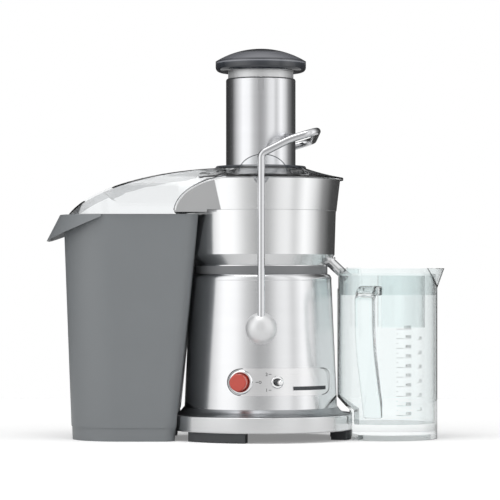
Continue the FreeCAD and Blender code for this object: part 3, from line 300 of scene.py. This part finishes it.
# Smoke colours by height, with a painted highlight line near 0.47 and a painted reflection band from 0.58 to
# 0.80.
CAP_SMOKE_AND_PAINTED_LIGHT_BANDS = [(0.0, (0.010, 0.012, 0.016)), (0.36, (0.020, 0.024, 0.03)),
             (0.44, (0.035, 0.04, 0.05)), (0.47, (0.30, 0.31, 0.34)),
             (0.52, (0.02, 0.022, 0.028)), (0.58, (0.17, 0.175, 0.195)),
             (0.80, (0.20, 0.205, 0.225)), (0.90, (0.004, 0.005, 0.009))]
bands = SMOKE.ramp(share, CAP_SMOKE_AND_PAINTED_LIGHT_BANDS)
SMOKE.set(Base_Color=SMOKE.mix(haze * 0.2, bands, (0.1, 0.1, 0.12)), Normal=SMOKE.bump(haze, 0.02, 0.001))
print("cap %.1f mm high" % ((CAP_HIGH - CAP_LOW) / MM))

# %% [markdown]
# ## Giving every CAD piece its finish
# Each CAD node keeps its mesh and gets its finish in its own material slot.  Turned pieces
# are shaded smooth, and edges sharper than 30 degrees stay crisp.

# %% Assign
WEAR = {
    HOUSING: ["motor_housing"],
    CHUTE: ["feed_chute"],
    PANEL: ["control_panel"],
    SURROUND: ["bowl_surround", "filter_bowl", "juice_nozzle"],
    RING: ["base_ring"],
    COLLAR: ["base_collar", "lower_motor_bracket", "upper_motor_bracket"],
    BAIL: ["bail_rod"],
    CHROME: ["power_button_ring", "toggle_bush", "toggle_lever"],
    KNOB: ["bail_knobs", "pusher_body"],
    STEEL: ["foot_screws", "motor_tie_rods", "lower_bearing", "upper_bearing", "motor_shaft",
            "drive_coupling", "filter_basket", "cutting_disc", "bail_pins", "bail_clips"],
    IRON: ["stator_core", "rotor_core"],
    COPPER: ["field_windings", "rotor_windings", "commutator"],
    BIN: ["pulp_bin"],
    DARK: ["base_plate", "cord_inlet_bush", "bail_bushes", "brush_holders", "carbon_brushes",
           "thermal_cutout", "board_components", "power_switch", "toggle_switch", "cooling_fan",
           "basket_rim"],
    NECK_PAINTED_SHADE: ["top_deck"],
    RUBBER: ["rubber_feet", "motor_mounts", "spindle_seal", "toggle_boot"],
    SEAL: ["bowl_seal"],
    RED: ["power_button"],
    BOARD: ["control_board"],
    COVER: ["cover"],
    JUG: ["jug", "jug_handle", "jug_lid", "froth_separator"],
    SMOKE: ["pusher_cap"],
    FLANGE: ["chute_flange"],
}


def dress(piece, finish):
    """One finish over a whole piece."""
    piece.data.materials.clear()
    piece.data.materials.append(finish.material)


def crisp(piece, degrees=30.0):
    """Smooth shading that keeps real edges."""
    piece.data.polygons.foreach_set("use_smooth", [True] * len(piece.data.polygons))
    piece.data.set_sharp_from_angle(angle=math.radians(degrees))


for finish, names in WEAR.items():
    for name in names:
        dress(NODES[name], finish)
        crisp(NODES[name])
print("dressed", sum(len(n) for n in WEAR.values()), "of", len(NODES))

# %% [markdown]
# ## The jug's scale
# The jug is a measuring jug: one column of short lines with a number at every 100 ml, and a
# second column in fluid ounces.  The height of each line comes from the jug's own size, so
# the scale reads true.  The print is a film on the outside of the wall: flat letters are
# bent round the jug by turning each point's distance along the wall into an angle.

# %% Bend flat print round an upright wall
JUG_BORE = 0.0544
JUG_FLOOR = 0.018
FILM = 0.00012


def bent_print(name, mesh, axis, radius, body, finish):
    """Flat print in (x, z) laid round an upright wall that faces -Y."""
    for point in mesh.vertices:
        angle = point.co.x / radius
        point.co = Vector((axis.x + radius * math.sin(angle), -radius * math.cos(angle), point.co.z))
    piece = bpy.data.objects.new(name, mesh)
    bpy.context.collection.objects.link(piece)
    dress(piece, finish)
    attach(piece, body)
    return piece


def strokes(made, x0, x1, z, weight):
    """A level line cut into short quads, so that it can be bent."""
    steps = 6
    low = [made.verts.new((x0 + (x1 - x0) * i / steps, 0, z - weight / 2)) for i in range(steps + 1)]
    top = [made.verts.new((x0 + (x1 - x0) * i / steps, 0, z + weight / 2)) for i in range(steps + 1)]
    for i in range(steps):
        made.faces.new((low[i], low[i + 1], top[i + 1], top[i]))


def letters(made, text, x, z, size):
    """A number standing on height z, its right end at x."""
    font = bpy.data.curves.new("number", "FONT")
    font.body = text
    font.size = size
    font.align_x = "RIGHT"
    carrier = bpy.data.objects.new("number", font)
    flat = bpy.data.meshes.new_from_object(carrier)
    flat.transform(Matrix.Translation((x, 0, z)) @ Matrix.Rotation(math.radians(90), 4, "X"))
    made.from_mesh(flat)
    bpy.data.meshes.remove(flat)
    bpy.data.objects.remove(carrier)
    bpy.data.curves.remove(font)


def jug_height_of(litres):
    return JUG_FLOOR + litres * 0.001 / (math.pi * JUG_BORE ** 2)


scale = bmesh.new()
for hundred in range(1, 11):
    z = jug_height_of(hundred / 10)
    strokes(scale, 0.0058, 0.0132 if hundred < 10 else 0.0235, z, 0.00035)
    strokes(scale, 0.0132, 0.0235, z, 0.0002)
    letters(scale, str(hundred * 100), 0.0233, z + 0.0007, 0.0046)
    if hundred > 1:
        strokes(scale, 0.0058, 0.0078, jug_height_of(hundred / 10 - 0.05), 0.0003)
for ounces in range(5, 31, 5):
    z = jug_height_of(ounces * 0.0296)
    strokes(scale, 0.0310, 0.0375, z, 0.0003)
    letters(scale, str(ounces), 0.0375, z + 0.0007, 0.0042)
print_mesh = bpy.data.meshes.new("jug_scale")
scale.to_mesh(print_mesh)
scale.free()
jug_scale = bent_print("jug_scale", print_mesh, JUG_AXIS, JUG_RADIUS + FILM, "jug", INK)
print("1000 ml line at %.1f mm" % (jug_height_of(1.0) / MM))

# %% [markdown]
# ## The panel's print
# Round the panel runs a fine dark joint, and beside the two controls stand small marks: a
# bar and a ring for off and on, and 1 and 2 for the two speeds.  A bare strip fills the
# lower right corner.  They are laid on the panel's curved face in the same way.

# %% Panel print
PANEL_LOW, PANEL_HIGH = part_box("control_panel")
FACE = -PANEL_LOW.y
PANEL_MID = (PANEL_LOW.z + PANEL_HIGH.z) / 2
PANEL_HALF = (PANEL_HIGH.z - PANEL_LOW.z) / 2


def panel_x(front_x):
    """Distance along the curved face of a place seen from the front."""
    return FACE * math.asin(front_x / FACE)


def loop(made, points, weight):
    """A closed line of even width through flat points."""
    count = len(points)
    rims = []
    for i, (x, z) in enumerate(points):
        before, after = points[i - 1], points[(i + 1) % count]
        run = Vector((after[0] - before[0], after[1] - before[1])).normalized()
        side = Vector((-run.y, run.x)) * weight / 2
        outer = made.verts.new((x + side.x, 0, z + side.y))
        rims.append((outer, made.verts.new((x - side.x, 0, z - side.y))))
    for i in range(count):
        a, b = rims[i], rims[(i + 1) % count]
        made.faces.new((a[0], b[0], b[1], a[1]))


def rounded(x0, x1, half, r_left, r_right, middle_z):
    """Points round a plate with a round left end and rounded right corners."""
    corners = ((x0 + r_left, half - r_left, r_left, 90), (x0 + r_left, r_left - half, r_left, 180),
               (x1 - r_right, r_right - half, r_right, 270), (x1 - r_right, half - r_right, r_right, 0))
    points = []
    for cx, cz, r, start in corners:
        for step in range(13):
            a = math.radians(start + 90 * step / 12)
            points.append((cx + r * math.cos(a), middle_z + cz + r * math.sin(a)))
    return points


legend = bmesh.new()
left, right = PANEL_LOW.x - SPINDLE.x, PANEL_HIGH.x - SPINDLE.x
PANEL_CORNER = 0.008
joint = rounded(left + 0.0004, right - 0.0012, PANEL_HALF - 0.0004, PANEL_HALF - 0.0005,
                PANEL_CORNER, PANEL_MID)
loop(legend, [(panel_x(x), z) for x, z in joint], 0.0008)
toggle_x = panel_x(middle("toggle_bush").x - SPINDLE.x)
button_x = panel_x(middle("power_button_ring").x - SPINDLE.x)
strokes(legend, button_x + 0.0165, button_x + 0.0195, PANEL_MID, 0.0006)
MARK = 0.0013
turns = [i * math.pi / 8 for i in range(16)]
loop(legend, [(button_x + 0.0215 + MARK * math.cos(a), PANEL_MID + MARK * math.sin(a)) for a in turns],
     0.0005)
letters(legend, "2", toggle_x - 0.0105, PANEL_MID + 0.0070, 0.0052)
letters(legend, "1", toggle_x - 0.0105, PANEL_MID - 0.0105, 0.0052)
strokes(legend, toggle_x - 0.0095, toggle_x - 0.0065, PANEL_MID + 0.0088, 0.0005)
strokes(legend, toggle_x - 0.0095, toggle_x - 0.0065, PANEL_MID - 0.0088, 0.0005)
strokes(legend, panel_x(0.036), panel_x(0.0725), PANEL_MID - 0.0072, 0.0042)
legend_mesh = bpy.data.meshes.new("panel_print")
legend.to_mesh(legend_mesh)
legend.free()
panel_print = bent_print("panel_print", legend_mesh, SPINDLE, FACE + 0.0001, "machine", INK)
print("panel face radius %.1f mm" % (FACE / MM))

# %% [markdown]
# ## Moulded edges
# On clear plastic the thick edge of such a bead reads as a thin dark line.  Here the beads are
# real round geometry, but the thin dark lines are painted shade: an opaque dark moulding in
# place of clear plastic.  Each one is a bent curve with a small round section.

# %% Beads, with painted shade lines
def bead(name, points, radius, finish, body="machine"):
    """A round bead through the points."""
    curve = bpy.data.curves.new(name, "CURVE")
    curve.dimensions = "3D"
    curve.bevel_depth = radius
    curve.bevel_resolution = 3
    curve.use_fill_caps = True
    line = curve.splines.new("POLY")
    line.points.add(len(points) - 1)
    for knot, place in zip(line.points, points):
        knot.co = tuple(place) + (1.0,)
    carrier = bpy.data.objects.new(name + "_line", curve)
    mesh = bpy.data.meshes.new_from_object(carrier)
    bpy.data.objects.remove(carrier)
    piece = bpy.data.objects.new(name, mesh)
    bpy.context.collection.objects.link(piece)
    dress(piece, finish)
    crisp(piece, 60)
    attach(piece, body)
    return piece


SURROUND_LOW, SURROUND_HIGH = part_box("bowl_surround")
SEAM = SURROUND_HIGH.z - 0.0351
ARCH_REACH = 0.074
ARCH_RISE = 0.042
ARCH_X = SURROUND_LOW.x + ARCH_REACH
ARCH_FOOT = SEAM - 0.0034
DRUM_FOOT = 0.0864
DRUM_TOP = 0.0906
THROAT = 0.074


def drum_face(x, z):
    """Distance in front of the spindle of the surround's wall."""
    radius = DRUM_FOOT + (DRUM_TOP - DRUM_FOOT) * (z - SEAM) / (SURROUND_HIGH.z - SEAM)
    across = x - SPINDLE.x
    return max(THROAT, math.sqrt(max(0.0, radius ** 2 - across ** 2)))


def arch(out, sign):
    points = []
    for step in range(37):
        turn = math.radians(4 + 74 * step / 36)
        x = ARCH_X - (ARCH_REACH + out) * math.cos(turn)
        z = ARCH_FOOT + (ARCH_RISE + out) * math.sin(turn)
        points.append(Vector((x, sign * (drum_face(x, z) + 0.0002), z)))
    return points


def ear(sign):
    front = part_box("cover")[1].y - 0.0036
    points = []
    for step in range(41):
        turn = math.radians(4 + 172 * step / 40)
        x = SPINDLE.x + 0.002 + 0.0268 * math.cos(turn)
        z = SURROUND_HIGH.z + 0.005 + 0.0208 * math.sin(turn)
        points.append(Vector((x, sign * front, z)))
    return points


# An opaque dark finish for the ear edges and the arch line: painted shade in place of the dark look of thick
# clear plastic.
PAINTED_SHADE_EDGE = moulded("clear_edge_painted_shade", (0.05, 0.06, 0.07), 0.2, 300.0, 0.02)
for side, sign in (("front", -1), ("back", 1)):
    bead("arch_bead_" + side, arch(-0.0012, sign), 0.0009, CHROME)
    bead("arch_line_" + side, arch(0.0004, sign), 0.0004, PAINTED_SHADE_EDGE)
    bead("ear_edge_" + side, ear(sign), 0.00045, PAINTED_SHADE_EDGE)
print("beads: 6, arch foot at %.1f mm" % (ARCH_FOOT / MM))

# %% [markdown]
# ## The studio
# The machine stands on a white sheet that runs to a white background, as for a catalogue.
# The floor is a disc a little wider than the view.  The camera and clear plastic see
# it as plain white, so it has no horizon; only the light that falls on it darkens it, which
# leaves the machine's faint shadow.

# %% Floor
FLOOR_RADIUS = 1.05


def floor_disc():
    mesh = bpy.data.meshes.new("white_floor")
    made = bmesh.new()
    bmesh.ops.create_circle(made, cap_ends=True, segments=96, radius=FLOOR_RADIUS)
    made.to_mesh(mesh)
    made.free()
    piece = bpy.data.objects.new("white_floor", mesh)
    bpy.context.collection.objects.link(piece)
    return piece


FLOOR = Finish("white_paper", Specular_IOR_Level=0.0, Roughness=0.9)
fibre = FLOOR.noise(FLOOR.place(), 60.0, 2.0)
FLOOR.set(Base_Color=FLOOR.mix(fibre, (0.93, 0.93, 0.93), (0.96, 0.96, 0.96)), Emission_Strength=0.24)
rays = FLOOR.node("ShaderNodeLightPath")
straight = Signal(FLOOR, rays.socket.node.outputs["Is Camera Ray"])
through = Signal(FLOOR, rays.socket.node.outputs["Is Transmission Ray"])
lift = straight.math("MAXIMUM", through)
FLOOR.set(Emission_Color=FLOOR.mix(lift, (0, 0, 0), (1, 1, 1)))
white_floor = floor_disc()
dress(white_floor, FLOOR)
print("floor radius", FLOOR_RADIUS)

# %% [markdown]
# ## Light
# Polished metal shows only what stands around it, so the look of the drum and the bail is
# the look of the studio.  A drum turns twice the angle that its face turns: its left third
# sees a white screen far out on the left, its middle sees a grey gap where the camera
# stands, its right side sees two more screens, and both edges see the black of the room
# behind.  The world holds those screens as a ramp round the compass, which is smooth and
# free of noise, and shows upright bands on every turned piece.

# %% World
world = bpy.data.worlds.new("studio")
bpy.context.scene.world = world
studio = Bench(world)
sky_out = studio.tree.nodes.new("ShaderNodeOutputWorld")
SCREENS = [(-180, 0.05), (-132, 0.05), (-108, 0.12), (-84, 0.90), (-62, 1.50), (-40, 1.42),
           (-24, 0.85), (-4, 0.50), (12, 0.62), (28, 1.15), (42, 1.25), (52, 0.80),
           (70, 1.50), (88, 1.00), (104, 0.35), (128, 0.08), (180, 0.05)]
HIGHEST = 1.5
way = studio.node("ShaderNodeTexCoord", out=0)
east, north, up = studio.parts(way)
compass = east.math("ARCTAN2", north * -1.0) / (2 * math.pi) + 0.5
screens = studio.ramp(compass, [((a + 180) / 360, level / HIGHEST) for a, level in SCREENS])
overhead = up.above(0.8, 0.25)
lit = studio.mix(overhead, screens, (0.62, 0.62, 0.62))
glow = studio.node("ShaderNodeBackground", {}, {"Color": lit, "Strength": HIGHEST})
plain = studio.node("ShaderNodeBackground", {}, {"Color": (1, 1, 1), "Strength": 1.0})
path = studio.node("ShaderNodeLightPath").socket.node
straight_on = Signal(studio, path.outputs["Is Camera Ray"])
refracted = Signal(studio, path.outputs["Is Transmission Ray"])
seen = straight_on.math("MAXIMUM", refracted)
join = studio.node("ShaderNodeMixShader", {}, {0: seen, 1: glow, 2: plain})
studio.fill(sky_out.inputs[0], join)
print("screens:", len(SCREENS))

# %% [markdown]
# One wide soft box hangs overhead, a little in front.  It gives the shadow under the machine
# and the light on the cap and the hood.

# %% Lamp
def lamp(name, place, target, width, height, watts):
    light = bpy.data.lights.new(name, "AREA")
    light.shape = "RECTANGLE"
    light.size = width
    light.size_y = height
    light.energy = watts
    piece = bpy.data.objects.new(name, light)
    bpy.context.collection.objects.link(piece)
    piece.location = Vector(place)
    piece.rotation_euler = (Vector(target) - Vector(place)).to_track_quat("-Z", "Y").to_euler()
    return piece


HEART = Vector((SPINDLE.x, 0, 0.2))
lamp("top_soft_box", (-0.35, -0.5, 2.2), HEART, 1.2, 0.9, 9)
print("lamps: 1")

# %% [markdown]
# ## Camera
# The machine was seen from far off with a long lens, level with its middle.  A long lens
# keeps the chute and the jug upright and shows both rims nearly edge on.

# %% Camera
lens = bpy.data.cameras.new("catalogue_lens")
lens.lens = 180.0
lens.sensor_width = 36.0
lens.shift_y = 0.07
camera = bpy.data.objects.new("catalogue_camera", lens)
bpy.context.collection.objects.link(camera)
camera.location = (0.0045, -2.857, 0.175)
camera.rotation_euler = (math.radians(90), 0, 0)
bpy.context.scene.camera = camera
bpy.context.scene.view_settings.view_transform = "Standard"
print("camera at", tuple(round(v, 3) for v in camera.location))
